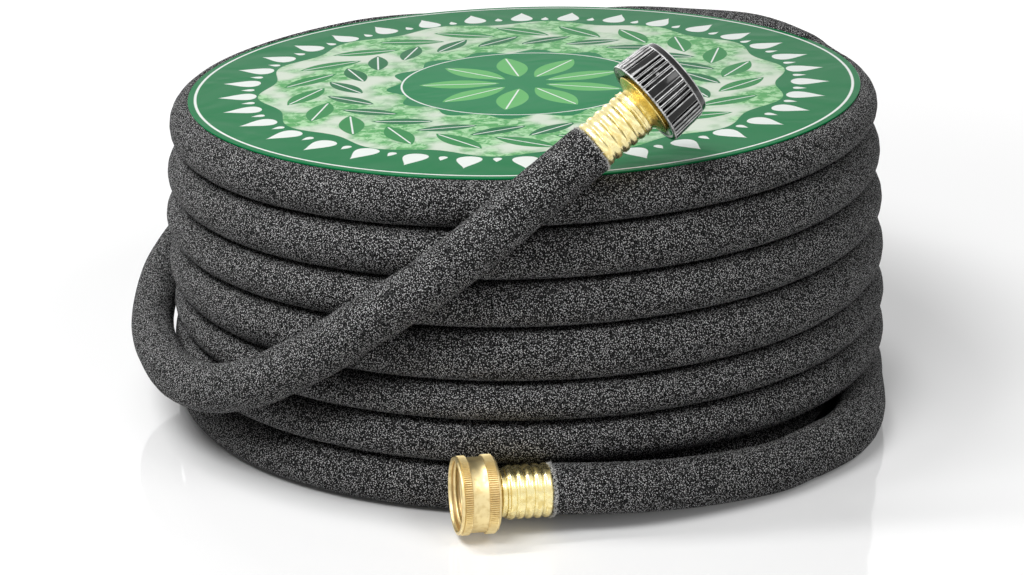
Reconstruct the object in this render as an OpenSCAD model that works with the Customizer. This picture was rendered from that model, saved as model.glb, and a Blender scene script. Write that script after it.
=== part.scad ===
// Soaker hose of porous rubber, coiled for storage, with a swivel nut on one end,
// a capped thread on the other and a printed card on top of the coil.

/* [Hose] */
// Outside diameter of the hose
hose_d = 20; // [17:0.5:22]
// Bore of the hose
hose_bore = 12.7; // [11:0.1:13.5]

/* [Coil] */
// Radius of the loop on the floor, to the middle of the hose
coil_r = 144.6; // [130:0.2:160]
// How much smaller the top loop is than the loop on the floor, on the radius
crown_in = 6.1; // [0:0.1:9]
// How far the top of the coil bulges out at the back
lean_back = 9; // [0:0.5:12]
// Gap between loops that lie on or beside each other
loop_gap = 0.5; // [0.45:0.05:1.2]
// How far the hose stands proud of the coil where it comes off on the floor
lead_out = 15.4; // [0:0.2:18]
// How far the tail presses the low loops in on the left side
tail_dent = 3.5; // [0:0.1:4]
// Rise of the loops to the right side, as a share of their height
fan = 0.044; // [0:0.002:0.06]

/* [Card] */
// How far the card reaches past the middle of the top loop
card_past = 3; // [0:0.1:7]
// Thickness of the card
card_t = 0.8; // [0.4:0.1:2]
// Tilt of the card, rising to the right side, in degrees
card_tilt = 1.15; // [0:0.05:1.6]
// Dip of the card to the back, in degrees
card_dip = 0.3; // [0:0.05:0.6]

/* [Couplings] */
// Largest diameter of the crimped ferrule on the nut's end
ferrule_d = 20.8; // [20:0.1:24]
// Largest diameter of the crimped ferrule on the capped end
cap_ferrule_d = 18.8; // [18.4:0.1:22]
// Depth of the grooves between the ferrule's ridges
ridge_deep = 0.7; // [0.3:0.05:1]
// Wall of the ferrules
ferrule_wall = 0.8; // [0.5:0.05:1]
// Number of ridges on each ferrule
ridges = 5; // [3:1:7]
// Length of one ridge on the nut's end
nut_ridge = 3.45;// [2.8:0.05:4.2]
// Length of one ridge on the capped end
cap_ridge = 3.8; // [2.8:0.1:4.2]
// Length of a ferrule's plain collar
collar_len = 2.6; // [1.5:0.1:4]
// Diameter of the brass necks where they leave the ferrules
neck_d = 16.8; // [15:0.1:17.6]
// Diameter of the waterway through the brass
water_d = 9.6; // [7:0.1:10.4]

/* [Swivel nut] */
// Diameter of the nut over its knurled bands
nut_d = 30.2; // [29.6:0.1:34]
// Length of the nut
nut_len = 15.4; // [13:0.1:18]
// Minor diameter of the nut's 3/4 inch hose thread
nut_thread_d = 24.6; // [24.2:0.1:25]
// Thickness of the nut's wall at its chamfered mouth
mouth_wall = 1.4; // [1:0.1:2.4]
// Thickness of the nut's back wall
nut_wall = 2.2; // [1.6:0.1:3]
// Length of the knurled band at the nut's mouth
knurl_front = 3.2; // [2.5:0.1:4]
// Length of the knurled band at the nut's back
knurl_back = 4; // [2.5:0.1:5]
// Number of flutes round a knurled band
flutes = 48; // [24:2:60]
// Depth of the smooth band between the knurled bands
band_deep = 0.6; // [0.2:0.05:1]
// Length of bare neck between ferrule collar and nut
neck_bare = 1.1; // [0.4:0.1:4]

/* [Thread and cap] */
// Major diameter of the male 3/4 inch hose thread
male_d = 26.9; // [26.5:0.05:27.1]
// Length of the male thread
male_len = 12.6; // [10:0.1:14.3]
// Thickness of the rim behind the thread
rim_t = 1.6; // [1:0.1:3]
// Diameter of the cap at its open end
cap_d = 35.4; // [33:0.1:38]
// Diameter of the cap where its ribs end
cap_end_d = 33.6; // [32.4:0.1:35]
// Diameter of the cap's closed face
cap_face_d = 30; // [27:0.1:32]
// Length of the bevel at the closed end
cap_bevel = 3; // [2:0.1:4]
// Thickness of the cap's closed end
cap_wall = 2; // [1.6:0.1:4]
// Number of wide ribs, with narrow ribs between them
cap_groups = 9; // [6:1:12]
// Depth of the grooves between the cap's ribs
rib_deep = 1.1; // [0.5:0.1:1.3]
// Thickness of the sealing washers
washer_t = 2.6; // [1.5:0.1:3]
// Width of the sealing washers' rubber ring
washer_w = 4.2; // [3:0.1:5]

/* [Hidden] */

rubber = [0.2, 0.2, 0.21];
brass = [0.83, 0.67, 0.3];
black = [0.07, 0.07, 0.07];
green = [0.07, 0.38, 0.2];

$fn = 96;
run_gap = 0.15;       // between pieces that turn on each other
seat_gap = 0.1;       // between pieces that are pressed together
floor_gap = 1.6;      // under the nut, which the stiff hose holds clear of the floor
hose_r = hose_d / 2;

// ---- The coil -----------------------------------------------------------------
// The hose is soft, so each loop presses those below it into its own height.
// These heights run from the floor up and are in hose diameters.
pressed = [1.015, 0.885, 0.78, 1.08, 0.93, 1.02, 0.97];
loops = len(pressed);
side_pitch = hose_d + loop_gap;
sector = 15;          // degrees from ring to ring, so a loop has 24
// The coil is wound counter-clockwise, and these are degrees along it.
start = 315;          // where the hose comes in from the lead
proud = start + 5;    // from here it turns in
proud_end = proud + 32;     // to the floor loop's radius here
turn_in = start + 300;      // the floor loop moves in one place here,
turned_in = turn_in + 105;  // and is in place here,
lifted = turned_in + 110;   // then it has risen to the second layer,
turn_out = lifted - 5;      // and moves out again
turned_out = turn_out + 55;
climb = turned_out + 240;   // from here it climbs a layer at this place in each loop,
climb_arc = 85;       // over this arc
finish = climb + 360 * (loops - 3) + climb_arc + 250;  // where it leaves as the tail

function ease(u) = let (v = min(1, max(0, u))) v * v * (3 - 2 * v);
function between(a, b, u) = a + (b - a) * u;
function total(list, n) = n <= 0 ? 0 : list[n - 1] + total(list, n - 1);

// Height of the top of layer n at azimuth a: the stack rises to the right side, and
// its top follows the card.
card_rise = tan(card_tilt) * (coil_r - crown_in);
card_sink = tan(card_dip) * (coil_r - crown_in);
function level(n) = hose_d * total(pressed, n);
function rise(n) = n < 1 ? 0 : n >= loops ? card_rise : fan * (level(n) - level(1));
function layer_top(n, a) = level(n) + rise(n) * cos(a)
    - (n >= loops ? card_sink * (1 + sin(a)) : 0);
function loop_mid(n, a) = (layer_top(n - 1, a) + layer_top(n, a) - loop_gap) / 2;
function loop_half(n, a) = (layer_top(n, a) - layer_top(n - 1, a) - loop_gap) / 2;

// The layer at t degrees along the coil, with fractions while it climbs.
function climbed(t) = let (q = (t - climb) / 360)
    q < 0 ? 0 : floor(q) + ease((q - floor(q)) * 360 / climb_arc);
function layer(t) = t < turned_in ? 1
    : min(loops, 1 + ease((t - turned_in) / (lifted - turned_in)) + climbed(t));
function coil_z(t) = let (n = floor(layer(t)))
    between(loop_mid(n, t), loop_mid(min(loops, n + 1), t), layer(t) - n);
function coil_half(t) = let (n = floor(layer(t)))
    between(loop_half(n, t), loop_half(min(loops, n + 1), t), layer(t) - n);
bulge_at = 82;        // azimuth of the bulge at the back
function crown(z, a) = (crown_in - lean_back * pow(max(0, cos(a - bulge_at)), 6))
    * pow(z / loop_mid(loops, 0), 2);
// The tail lies against the left side, over this many degrees each way.
dent_at = 185;
dent_arc = 45;
function dent(t) = let (a = t - 360 * floor(t / 360))
    tail_dent * ease(1 - abs(a - dent_at) / dent_arc)
    * ease((3.75 * hose_d - coil_z(t)) / (1.5 * hose_d));
function coil_rad(t) = coil_r - crown(coil_z(t), t) - dent(t)
    + lead_out * (1 - ease((t - proud) / (proud_end - proud)))
    - side_pitch * (ease((t - turn_in) / (turned_in - turn_in))
                    - ease((t - turn_out) / (turned_out - turn_out)));

function radial(a) = [cos(a), sin(a), 0];
function along(a) = [-sin(a), cos(a), 0];
up = [0, 0, 1];
function coil_point(t) = coil_rad(t) * radial(t) + [0, 0, coil_z(t)];

// A ring is a six-sided section, flat where loops lie on each other.
section = [[1, 0], [0.5, 1], [-0.5, 1], [-1, 0], [-0.5, -1], [0.5, -1]];
function coil_ring(t, shift) = [for (s = section)
    coil_point(t) + hose_r * s[0] * radial(t) + [0, 0, coil_half(t) * s[1]] + shift * along(t)];
// At each end the tube runs on straight for one diameter.
coil_rings = concat([coil_ring(start, -hose_d)],
                    [for (t = [start:sector:finish]) coil_ring(t, 0)],
                    [coil_ring(finish, hose_d)]);

function flat(list) = [for (part = list) each part];
// Walls of a tube through its rings, and its two ends, all as triangles.
function tube_faces(count, sides) = concat(
    [for (i = [1:sides - 2]) [0, i + 1, i]],
    [for (i = [1:sides - 2]) [0, i, i + 1] + (count - 1) * sides * [1, 1, 1]],
    [for (r = [0:count - 2], i = [0:sides - 1])
        let (j = (i + 1) % sides, a = r * sides)
        each [[a + i, a + sides + j, a + sides + i], [a + i, a + j, a + sides + j]]]);
module tube(rings) {
    polyhedron(flat(rings), tube_faces(len(rings), len(rings[0])), convexity = 12);
}

// Least gap of the coil to itself, measured between the sections in each plane
// through its axis.
function profile(t) = [for (s = section)
    [coil_rad(t) + hose_r * s[0], coil_z(t) + coil_half(t) * s[1]]];
function point_to_edge(p, a, b) = let (u = max(0, min(1, (p - a) * (b - a) / ((b - a) * (b - a)))))
    norm(p - a - u * (b - a));
function outside(p, q) = max([for (i = [0:len(q) - 1])
    let (e = q[(i + 1) % len(q)] - q[i]) (e[1] * (p - q[i])[0] - e[0] * (p - q[i])[1]) / norm(e)]);
function section_gap(p, q) = min([for (a = p) let (depth = outside(a, q))
    depth < 0 ? depth
    : min([for (i = [0:len(q) - 1]) point_to_edge(a, q[i], q[(i + 1) % len(q)])])]);
self_gap = min([for (t = [start:sector:finish - 360], k = [1:2])
    if (t + 360 * k <= finish)
        let (p = profile(t), q = profile(t + 360 * k)) min(section_gap(p, q), section_gap(q, p))]);
echo(str("least gap of the coil to itself: ", self_gap, " mm"));

// ---- The free ends ------------------------------------------------------------
// The nut lies on the floor beside the coil, so its size sets where the lead ends. Its
// points are: degrees from the coil's start, hose diameters outside the floor loop's
// middle, and share of the rise from the floor loop to the nut.
nut_beside = 4.7;     // outwards, on top of the nut's radius
lead_points = [[-31.98, 0.981, 0.8], [-22.98, 0.904, 0.48], [-14.55, 0.861, 0.22]];
function beside(a, out, z) = (coil_r + out) * radial(a) + [0, 0, z];
lead_z = nut_d / 2 + floor_gap;
lead_end = beside(start - 42.29, nut_d / 2 + nut_beside, lead_z);
lead_rise = 1.5;      // it points up by this many degrees, and a little outwards
lead_dir = sin(lead_rise) * up - cos(lead_rise) * radial(start + 57);
// The tail's points are: degrees from the coil's finish, hose diameters outside the
// floor loop's middle, and hose diameters above the floor.
tail_points = [
    [15, -0.09, 6.38], [30, 0.3, 6.34], [45, 0.76, 6.1], [60, 1.09, 5.85],
    [75, 1.06, 5.4], [95, 1.01, 4.6], [115, 0.98, 3.6], [135, 0.955, 2.7],
    [145, 0.938, 2.32], [155, 0.879, 2.03], [165, 0.805, 1.78], [175, 0.807, 1.68],
    [185, 0.853, 1.65], [195, 0.951, 1.635], [205, 0.979, 1.825], [214.6, 0.992, 2.315],
    [220.7, 0.977, 2.8], [226.9, 0.957, 3.35], [231.9, 0.929, 3.89], [239.7, 0.893, 4.67],
    [245, 0.852, 5.255], [251.3, 0.746, 5.995], [255, 0.7, 6.45], [259.5, 0.483, 6.895]];
function by_tail(p) = beside(finish + p[0], hose_d * p[1], hose_d * p[2]);
tail_end = by_tail([264.5, 0.273, 7.36]);
tail_rise = 34.74;    // and it points up by this many degrees
tail_dir = cos(tail_rise) * radial(finish + 6.48) + sin(tail_rise) * up;
straight = 3;         // straight hose outside each ferrule

// A smooth line through the points, with a point between each two.
function curve_at(a, b, c, d, u) = 0.5 * (2 * b + (c - a) * u
    + (2 * a - 5 * b + 4 * c - d) * u * u + (3 * b - a - 3 * c + d) * u * u * u);
function smooth_line(p) = let (n = len(p) - 1)
    concat([p[0]], [for (i = [0:n - 1], u = [0.5, 1])
        curve_at(i == 0 ? 2 * p[0] - p[1] : p[i - 1], p[i], p[i + 1],
                 i == n - 1 ? 2 * p[n] - p[n - 1] : p[i + 2], u)]);
function unit(v) = v / norm(v);
function heading(line, i, first, last) = i == 0 ? first : i == len(line) - 1 ? last
    : unit(line[i + 1] - line[i - 1]);
hose_sides = 12;
// It is pressed narrower against the coil's left side, and flatter under the card.
function wide(p) = 1 - 0.1 * ease((-p[0] / coil_r - 0.69) / 0.35);
function high(p) = p[1] < 0 ? 1 : 1 - 0.1 * ease((p[2] / hose_d - 5.75) / 0.45);
function hose_ring(point, dir) = let (side = unit(cross(dir, up)), top = cross(side, dir))
    [for (i = [0:hose_sides - 1]) let (a = 360 * (i + 0.5) / hose_sides)
        point + hose_r * (wide(point) * cos(a) * side + high(point) * sin(a) * top)];
function hose_rings(line, first, last) = [for (i = [0:len(line) - 1])
    hose_ring(line[i], heading(line, i, first, last))];

lead_join = coil_point(start) - hose_d * along(start);
lead_line = concat([lead_end, lead_end - straight * lead_dir],
                   smooth_line(concat([for (p = lead_points)
                       beside(start + p[0], hose_d * p[1], between(coil_z(start), lead_z, p[2]))],
                       [lead_join])));
lead_rings = hose_rings(lead_line, -lead_dir, along(start));
tail_join = coil_point(finish) + hose_d * along(finish);
tail_line = concat(smooth_line(concat([tail_join], [for (p = tail_points) by_tail(p)])),
                   [tail_end - straight * tail_dir, tail_end]);
tail_rings = hose_rings(tail_line, along(finish), tail_dir);

// Inside a ferrule the hose is squeezed thin on the barb.
barb_r = (hose_bore + 0.6) / 2;
module squeezed_end(ridge, d) {
    translate([0, 0, -1])
        cylinder(r = d / 2 - ridge_deep - ferrule_wall - seat_gap, h = ridges * ridge + 1);
}
module barb_hole(ridge) {
    translate([0, 0, -barb_back - seat_gap])
        cylinder(r = barb_r + seat_gap, h = barb_back + ridges * ridge + 1);
}
barb_back = 2;        // how far the barb reaches past the ferrule's mouth

// ---- Where the pieces stand -----------------------------------------------------
// Puts a coupling drawn along +Z, with its zero at the ferrule's mouth, on an end.
module on_end(point, dir) {
    translate(point)
        rotate([0, 0, atan2(dir[1], dir[0])])
            rotate([0, 90 - asin(dir[2]), 0])
                children();
}
module on_lead() { on_end(lead_end, lead_dir) children(); }
module on_tail() { on_end(tail_end, tail_dir) children(); }

// The origin is on the floor under the middle of the whole part.
nut_back = ridges * nut_ridge + collar_len + neck_bare;
nut_corners = let (side = cross(lead_dir, up))
    [for (s = [0, 1], w = [-1, 1]) lead_end + (nut_back + s * nut_len) * lead_dir
        + w * nut_d / 2 * side];
corners = concat(flat(coil_rings), flat(lead_rings), flat(tail_rings), nut_corners);
function middle(i) = (min([for (p = corners) p[i]]) + max([for (p = corners) p[i]])) / 2;
module placed() { translate([-middle(0), -middle(1), 0]) children(); }

module hose_coil() {
    color(rubber) tube(coil_rings);
}

// The turns inside the outer layer, as one plain ring that stands on the floor. It
// is narrower at the bottom, where the floor loop moves in and comes out again.
sag = coil_r * (1 - cos(sector / 2));   // how far a straight side cuts inside the loop
core_clear = hose_r + sag + tail_dent + 0.3;
core_in = coil_r - 2 * side_pitch - hose_r - 2;
core_top = level(loops - 1) - rise(loops - 1) - 1;
core_step = level(2) + rise(2) + 0.5;
core_steps = 6;
module inner_turns() {
    wall = [for (i = [0:core_steps]) let (z = between(core_step, core_top, i / core_steps))
        [coil_r - crown(z, 0) - core_clear, z]];
    color(rubber) rotate_extrude()
        polygon(concat([[core_in, 0], [coil_r - side_pitch - core_clear, 0],
                        [coil_r - side_pitch - core_clear, core_step]],
                       wall, [[core_in, core_top]]));
}

module hose_lead() {
    color(rubber) difference() {
        union() {
            tube(lead_rings);
            on_lead() squeezed_end(nut_ridge, ferrule_d);
        }
        on_lead() barb_hole(nut_ridge);
    }
}

module hose_tail() {
    color(rubber) difference() {
        union() {
            tube(tail_rings);
            on_tail() squeezed_end(cap_ridge, cap_ferrule_d);
        }
        on_tail() barb_hole(cap_ridge);
    }
}

// ---- Ferrules and stems -----------------------------------------------------------
// A thin brass sleeve, rolled into ridges that bite the hose, with a plain collar
// drawn down on the stem.
ridge_points = 8;
drawn = 0.6;          // from the last ridge to the collar, where the stem's shoulder stands
function ridge_curve(ridge, r) = [for (i = [0:ridges * ridge_points])
    [r - ridge_deep * pow(cos(180 * i / ridge_points), 4), i * ridge / ridge_points]];
module ferrule(ridge, d) {
    bore_r = neck_d / 2 + seat_gap;
    collar_r = bore_r + ferrule_wall;
    end = ridges * ridge;
    outside = concat(ridge_curve(ridge, d / 2),
                     [[collar_r, end + drawn], [collar_r, end + collar_len]]);
    inside = concat([[bore_r, end + collar_len], [bore_r, end + drawn]],
                    [for (i = [ridges * ridge_points:-1:0])
                        ridge_curve(ridge, d / 2 - ferrule_wall)[i]]);
    rotate_extrude() polygon(concat(outside, inside));
}

// The barb holds the hose from inside: saw teeth that let it slide on but not off.
teeth = 4;
tooth_deep = 0.5;
function barb_curve(ridge) = let (long = (ridges * ridge + barb_back) / teeth)
    [for (i = [0:teeth - 1]) each [[barb_r - tooth_deep, i * long - barb_back],
                                   [barb_r, (i + 1) * long - barb_back - 0.2]]];
module stem(ridge, head) {
    rotate_extrude() polygon(concat(
        [[water_d / 2, -barb_back]], barb_curve(ridge),
        [[barb_r, ridges * ridge + drawn], [neck_d / 2, ridges * ridge + drawn]],
        head));
}

module female_ferrule() {
    color(brass) on_lead() ferrule(nut_ridge, ferrule_d);
}
module male_ferrule() {
    color(brass) on_tail() ferrule(cap_ridge, cap_ferrule_d);
}

// ---- Swivel nut, washer and the stem it turns on -------------------------------------
flange_at = nut_back + nut_wall + run_gap;
flange_t = 1.6;
flange_r = nut_thread_d / 2 - 0.3;
washer_at = flange_at + flange_t + seat_gap;
washer_r = nut_thread_d / 2 + 0.2;
chamber_r = washer_r + 0.25;
thread_at = washer_at + washer_t + seat_gap + 0.2;
nut_front = nut_back + nut_len;
nut_chamfer = 1.2;

module female_stem() {
    color(brass) on_lead() stem(nut_ridge, [
        [neck_d / 2, flange_at], [flange_r, flange_at], [flange_r, flange_at + flange_t],
        [water_d / 2, flange_at + flange_t]]);
}

// A knurled band is a disc with round-bottomed flutes along its rim.
flute_deep = 0.35;
module knurled(from, long) {
    translate([0, 0, from]) linear_extrude(long) polygon([
        for (i = [0:flutes * 4 - 1])
            let (r = nut_d / 2 - (i % 4 == 0 ? flute_deep : i % 4 == 2 ? 0 : flute_deep / 4))
            [r * cos(90 * i / flutes), r * sin(90 * i / flutes)]]);
}
module swivel_nut() {
    r = nut_d / 2;
    rim = r - flute_deep - 0.1;
    edge = 1;
    back = nut_back + edge;
    front = nut_front - nut_chamfer;
    color(brass) on_lead() difference() {
        union() {
            knurled(back, knurl_back);
            knurled(front - knurl_front, knurl_front);
            rotate_extrude() polygon([[0, nut_back], [rim - 0.9, nut_back], [rim, back],
                [rim, back + knurl_back], [r - band_deep, back + knurl_back + 0.2],
                [r - band_deep, front - knurl_front - 0.2], [rim, front - knurl_front],
                [rim, nut_front - 0.3], [rim - 0.3, nut_front], [0, nut_front]]);
        }
        translate([0, 0, nut_back - 1]) cylinder(d = neck_d + 2 * run_gap, h = nut_len);
        translate([0, 0, nut_back + nut_wall])
            cylinder(r = chamber_r, h = thread_at - nut_back - nut_wall);
        translate([0, 0, thread_at]) cylinder(d = nut_thread_d, h = nut_len);
        translate([0, 0, nut_front - nut_chamfer])
            cylinder(d1 = nut_thread_d, d2 = nut_d - 2 * mouth_wall, h = nut_chamfer + 0.001);
    }
}

module ring(r_out, r_in, h) {
    difference() {
        cylinder(r = r_out, h = h);
        translate([0, 0, -1]) cylinder(r = r_in, h = h + 2);
    }
}
module hose_washer() {
    color(black) on_lead() translate([0, 0, washer_at]) ring(washer_r, washer_r - washer_w, washer_t);
}

// ---- Threaded end and its cap -----------------------------------------------------------
flare_at = ridges * cap_ridge + collar_len;
flare_len = 2;
rim_at = flare_at + flare_len;
male_at = rim_at + rim_t;
male_end = male_at + male_len;
rim_r = male_d / 2 - 0.3;
male_chamfer = 1;
cap_at = male_at + 0.2;
cap_bore_r = male_d / 2 + 0.25;
cap_washer_at = male_end + seat_gap;
cap_floor = cap_washer_at + washer_t + seat_gap;
cap_end = cap_floor + cap_wall;
cap_lip = 0.9;

module male_fitting() {
    color(brass) on_tail() stem(cap_ridge, [
        [neck_d / 2, flare_at + 0.3], [rim_r, rim_at], [rim_r, male_at],
        [male_d / 2, male_at + 0.3], [male_d / 2, male_end - male_chamfer],
        [male_d / 2 - male_chamfer, male_end], [water_d / 2, male_end]]);
}

module cap_washer() {
    color(black) on_tail() translate([0, 0, cap_washer_at])
        ring(cap_bore_r - 0.35, cap_bore_r - washer_w - 0.35, washer_t);
}

// Moulded cap: wide ribs with three narrow ribs between them, all inside one outer
// cone, on a plain core with a lip at the mouth and a smooth bevel at the closed end.
wide_rib = 12;        // degrees
narrow_rib = 3.6;
narrow_ribs = 3;
module rib_sector(at, wide) {
    rotate(at - wide / 2) polygon([[0, 0], for (i = [0:2]) cap_d * radial2(i * wide / 2)]);
}
function radial2(a) = [cos(a), sin(a)];
module cap_ribs() {
    pitch = 360 / cap_groups;
    step = (pitch - wide_rib) / (narrow_ribs + 1) + 0.9;
    for (g = [0:cap_groups - 1]) {
        rib_sector(g * pitch, wide_rib);
        for (n = [-1:1]) rib_sector((g + 0.5) * pitch + n * step, narrow_rib);
    }
}
module end_cap() {
    bevel_at = cap_end - cap_bevel;
    r0 = cap_d / 2;
    r1 = cap_end_d / 2;
    color(black) on_tail() difference() {
        union() {
            // core between the ribs
            rotate_extrude() polygon([[0, cap_at], [r0 - 0.3, cap_at], [r0, cap_at + 0.3],
                [r0, cap_at + cap_lip], [r0 - rib_deep, cap_at + cap_lip],
                [r1 - rib_deep, bevel_at], [r1 - rib_deep / 3, bevel_at],
                [cap_face_d / 2 + 0.6, cap_end - 0.6], [cap_face_d / 2, cap_end], [0, cap_end]]);
            intersection() {
                translate([0, 0, cap_at]) linear_extrude(cap_end - cap_at) cap_ribs();
                rotate_extrude() polygon([[0, cap_at + cap_lip / 2], [r0, cap_at + cap_lip / 2],
                    [r1, bevel_at], [cap_face_d / 2 + 0.8, cap_end - 1], [0, cap_end - 1]]);
            }
        }
        translate([0, 0, cap_at - 1]) cylinder(r = cap_bore_r, h = cap_floor - cap_at + 1);
    }
}

// ---- Printed card ---------------------------------------------------------------------
module label_card() {
    card_r = coil_r - crown_in + card_past;
    color(green) translate([0, 0, level(loops) - card_sink - loop_gap - seat_gap])
        rotate([-card_dip, -card_tilt, 0]) cylinder(r = card_r, h = card_t, $fn = 180);
}

placed() {
    hose_coil();
    inner_turns();
    hose_lead();
    hose_tail();
    female_ferrule();
    female_stem();
    swivel_nut();
    hose_washer();
    male_ferrule();
    male_fitting();
    cap_washer();
    end_cap();
    label_card();
}
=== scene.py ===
import math

import bmesh
import bpy
from mathutils import Matrix, Quaternion, Vector


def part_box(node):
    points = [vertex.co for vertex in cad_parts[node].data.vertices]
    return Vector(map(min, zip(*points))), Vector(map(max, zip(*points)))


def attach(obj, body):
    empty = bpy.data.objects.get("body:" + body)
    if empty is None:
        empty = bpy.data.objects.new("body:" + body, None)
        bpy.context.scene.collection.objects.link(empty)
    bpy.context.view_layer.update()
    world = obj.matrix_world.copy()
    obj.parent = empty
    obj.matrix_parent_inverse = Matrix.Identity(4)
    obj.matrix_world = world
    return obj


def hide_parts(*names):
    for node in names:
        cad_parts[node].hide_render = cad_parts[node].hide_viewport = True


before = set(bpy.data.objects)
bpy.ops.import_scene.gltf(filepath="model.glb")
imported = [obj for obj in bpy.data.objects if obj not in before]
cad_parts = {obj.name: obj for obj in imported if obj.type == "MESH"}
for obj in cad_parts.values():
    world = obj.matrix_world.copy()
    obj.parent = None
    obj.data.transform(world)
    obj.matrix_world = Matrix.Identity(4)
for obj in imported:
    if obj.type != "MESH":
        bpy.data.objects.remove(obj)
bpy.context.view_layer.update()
scene = bpy.context.scene

# ---- Viewpoint -----------------------------------------------------------------------
# A long lens from a step away, looking down on the coil at about twenty degrees. All
# sizes below are in millimetres, and are turned into metres where a mesh is made.
mm = 0.001
coil_axis = Vector([(low + high) / 2 for low, high in zip(*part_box("inner_turns"))]) / mm
coil_axis.z = 0
view_distance = 1206
view_rise = math.radians(19.07)
view_roll = math.radians(-0.5)
view_aim = coil_axis + Vector((-5.58, 0, 41.46))

camera = bpy.data.objects.new("camera", bpy.data.cameras.new("camera"))
scene.collection.objects.link(camera)
scene.camera = camera
camera.data.sensor_width = 36
camera.data.lens = 97.8
view_back = Vector((0, -math.cos(view_rise), math.sin(view_rise)))
camera.location = (view_aim + view_distance * view_back) * mm
camera.rotation_mode = "QUATERNION"
camera.rotation_quaternion = ((-view_back).to_track_quat("-Z", "Y")
                              @ Quaternion((0, 0, 1), view_roll))
camera.data.clip_start = 0.05
camera.data.clip_end = 20

# ---- Hose ----------------------------------------------------------------------------
# One length of porous hose, extruded from crumbs of tyre rubber. It is wound by hand
# into a flat coil three turns deep and seven high. Its first end comes off the floor
# loop at the front, and its last one hangs from the top loop round the left side.
hose_d = 20
hose_sides = 24
loop_gap = 0.5
side_pitch = hose_d + loop_gap
pressed = [1.015, 0.885, 0.78, 1.08, 0.93, 1.02, 0.97]     # loop heights in diameters
loops = len(pressed)
coil_r = 144.6
crown_in = 6.1
lean_back, bulge_at = 9, 82     # the stack leans out at the back, at this azimuth
lead_out = 15.4
tail_dent, dent_at, dent_reach = 3.5, 185, 45       # the tail presses the low loops in
dent_top, dent_fade = 75, 30
fan = 0.044           # how much the loops spread apart on one side
card_tilt, card_dip = math.radians(1.15), math.radians(0.3)
soft_swell = 0.2      # each loop swells this much into its neighbours

# The hose is followed in degrees round the coil, from where the lead joins it. Each
# pair is where a move starts and ends.
coil_start, coil_finish = 315, 6855
lead_comes_in = (320, 352)
moves_in = [(615, 720), (975, 1080)]
moves_out = [(3030, 3085), (4785, 4840)]
climbs = ([(1480 + 360 * i, 1565 + 360 * i) for i in range(4)] + [(2940, 3010)]
          + [(5080 + 360 * i, 5165 + 360 * i) for i in range(5)])
descents = [(3355 + 360 * i, 3430 + 360 * i) for i in range(4)]


def ease(u):
    v = min(1, max(0, u))
    return v * v * (3 - 2 * v)


def done(t, moves):
    """How many of the moves are made, t degrees along the coil."""
    return sum(ease((t - a) / (b - a)) for a, b in moves)


def level(n):
    return hose_d * sum(pressed[:n])


def loop_top(n, t):
    if n < 1:
        rise = 0
    elif n < loops:
        rise = fan * (level(n) - level(1))
    else:
        rise = math.tan(card_tilt) * (coil_r - crown_in)
    return level(n) + rise * math.cos(math.radians(t))


def coil_height(t):
    """Middle height and half height of the hose, t degrees along the coil."""
    loop = min(loops, 1 + done(t, climbs) - done(t, descents))
    below = int(loop + 1e-9)
    pair = []
    for n in (below, min(loops, below + 1)):
        low, high = loop_top(n - 1, t), loop_top(n, t)
        pair.append(((low + high - loop_gap) / 2, (high - low - loop_gap) / 2))
    u = loop - below
    return tuple(a + (b - a) * u for a, b in zip(*pair))


def crown(z, t):
    """How far the stack leans in at this height."""
    bulge = lean_back * max(0, math.cos(math.radians(t - bulge_at))) ** 6
    top_mid = (loop_top(loops - 1, 0) + loop_top(loops, 0) - loop_gap) / 2
    return (crown_in - bulge) * (z / top_mid) ** 2


def coil_radius(t):
    z = coil_height(t)[0]
    dent = (tail_dent * ease(1 - abs(t % 360 - dent_at) / dent_reach)
            * ease((dent_top - z) / dent_fade))
    return (coil_r - crown(z, t) - dent + lead_out * (1 - done(t, [lead_comes_in]))
            - side_pitch * (done(t, moves_in) - done(t, moves_out)))


def along(t):
    return Vector((-math.sin(math.radians(t)), math.cos(math.radians(t)), 0))


def coil_point(t):
    z, a = coil_height(t)[0], math.radians(t)
    return Vector((coil_radius(t) * math.cos(a), coil_radius(t) * math.sin(a), z))


def smooth_line(points, steps):
    """A Catmull-Rom line through the points, with this many steps between each two."""
    line = [points[0]]
    for i in range(len(points) - 1):
        b, c = points[i], points[i + 1]
        a = points[i - 1] if i else 2 * b - c
        d = points[i + 2] if i + 2 < len(points) else 2 * c - b
        for k in range(1, steps + 1):
            u = k / steps
            line.append(0.5 * (2 * b + (c - a) * u + (2 * a - 5 * b + 4 * c - d) * u * u
                               + (3 * b - a - 3 * c + d) * u ** 3))
    return line


def beside(azimuth, out, z):
    """A point this far outside the floor loop's middle."""
    a = math.radians(azimuth)
    return Vector(((coil_r + out) * math.cos(a), (coil_r + out) * math.sin(a), z))


def pointing(azimuth, rise):
    a, e = math.radians(azimuth), math.radians(rise)
    return Vector((math.cos(e) * math.cos(a), math.cos(e) * math.sin(a), math.sin(e)))


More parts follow.
